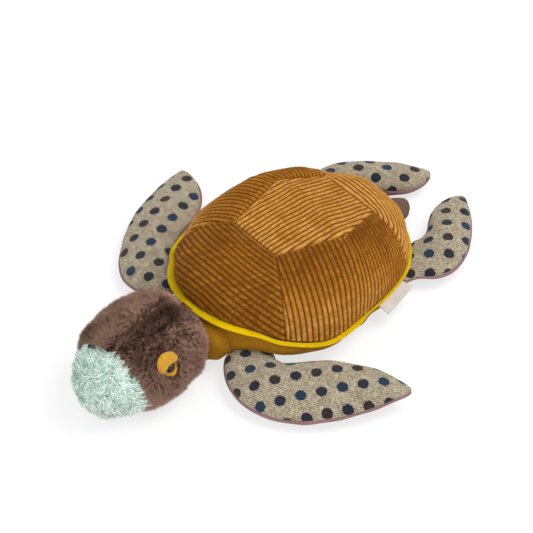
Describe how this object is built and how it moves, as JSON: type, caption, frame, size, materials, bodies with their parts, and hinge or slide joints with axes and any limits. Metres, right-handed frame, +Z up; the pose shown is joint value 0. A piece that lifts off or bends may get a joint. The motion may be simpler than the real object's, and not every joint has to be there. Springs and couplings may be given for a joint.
{
  "type": "plush turtle",
  "caption": "Stuffed sea turtle with a domed corduroy shell, furry head, spotted flippers, tail and yellow rim piping; it lies flat on its belly.",
  "frame": {"origin": "on the floor under the middle of the shell", "axes": "+Z up, -Y towards the head, +X towards the turtle's left side"},
  "size_m": [0.2933, 0.3567, 0.0685],
  "materials": {
    "corduroy": "ribbed cotton corduroy",
    "velour": "short matt pile",
    "yellow_tape": "flat folded tape",
    "brown_fur": "short dense fur",
    "mint_fur": "curly fur",
    "spotted_knit": "beige knit with dark spots",
    "mauve_velour": "short matt pile",
    "taupe_velour": "short matt pile",
    "mustard_felt": "pressed felt",
    "black_bead": "polished black",
    "clear_plastic": "moulded",
    "label_tape": "woven tape, bare",
    "fibre": "loose stuffing fibre"
  },
  "bodies": {
    "torso": {"belly_cover": "velour", "body_stuffing": "fibre", "rim_piping": "yellow_tape", "shell_front_panel": "corduroy", "shell_left_panel": "corduroy", "shell_rear_panel": "corduroy", "shell_right_panel": "corduroy", "shell_top_panel": "corduroy", "side_label": "label_tape"},
    "neck": {"neck_cover": "velour", "neck_stuffing": "fibre"},
    "head": {"head_left_panel": "brown_fur", "head_right_panel": "brown_fur", "head_stuffing": "fibre", "head_throat_panel": "brown_fur", "left_eye_bead": "black_bead", "left_eye_felt": "mustard_felt", "left_eye_washer": "clear_plastic", "left_eyelid": "mustard_felt", "muzzle_cover": "mint_fur", "right_eye_bead": "black_bead", "right_eye_felt": "mustard_felt", "right_eye_washer": "clear_plastic", "right_eyelid": "mustard_felt"},
    "left_front_flipper": {"left_front_flipper_bottom_cover": "mauve_velour", "left_front_flipper_stuffing": "fibre", "left_front_flipper_top_cover": "spotted_knit"},
    "right_front_flipper": {"right_front_flipper_bottom_cover": "mauve_velour", "right_front_flipper_stuffing": "fibre", "right_front_flipper_top_cover": "spotted_knit"},
    "left_rear_flipper": {"left_rear_flipper_bottom_cover": "mauve_velour", "left_rear_flipper_stuffing": "fibre", "left_rear_flipper_top_cover": "spotted_knit"},
    "right_rear_flipper": {"right_rear_flipper_bottom_cover": "mauve_velour", "right_rear_flipper_stuffing": "fibre", "right_rear_flipper_top_cover": "spotted_knit"},
    "tail": {"tail_bottom_cover": "taupe_velour", "tail_stuffing": "fibre", "tail_top_cover": "taupe_velour"}
  },
  "joints": [
    {"name": "neck_lift", "type": "hinge", "parent": "torso", "child": "neck", "pos_m": [0, -0.089, 0.0189], "axis": [-1, 0, 0], "range_deg": [-12, 12], "stiffness_Nm_per_rad": 0.12},
    {"name": "head_turn", "type": "hinge", "parent": "neck", "child": "head", "pos_m": [0, -0.101, 0.0189], "axis": [0, 0, 1], "range_deg": [-28, 14], "stiffness_Nm_per_rad": 0.12},
    {"name": "left_front_flap", "type": "hinge", "parent": "torso", "child": "left_front_flipper", "pos_m": [0.04401, -0.07162, 0.018], "axis": [-0.8284, -0.5601, 0], "range_deg": [-28, 25], "stiffness_Nm_per_rad": 0.05},
    {"name": "right_front_flap", "type": "hinge", "parent": "torso", "child": "right_front_flipper", "pos_m": [-0.04826, -0.06758, 0.016], "axis": [-0.8349, 0.5504, 0], "range_deg": [-28, 25], "stiffness_Nm_per_rad": 0.05},
    {"name": "left_rear_flap", "type": "hinge", "parent": "torso", "child": "left_rear_flipper", "pos_m": [0.05061, 0.06899, 0.0105], "axis": [0.6579, -0.7531, 0], "range_deg": [-25, 15], "stiffness_Nm_per_rad": 0.04},
    {"name": "right_rear_flap", "type": "hinge", "parent": "torso", "child": "right_rear_flipper", "pos_m": [-0.05061, 0.06899, 0.0105], "axis": [0.6579, 0.7531, 0], "range_deg": [-25, 15], "stiffness_Nm_per_rad": 0.04},
    {"name": "tail_lift", "type": "hinge", "parent": "torso", "child": "tail", "pos_m": [-0.00589, 0.09082, 0.012], "axis": [0.9977, 0.0675, 0], "range_deg": [-22, 20], "stiffness_Nm_per_rad": 0.02}
  ]
}
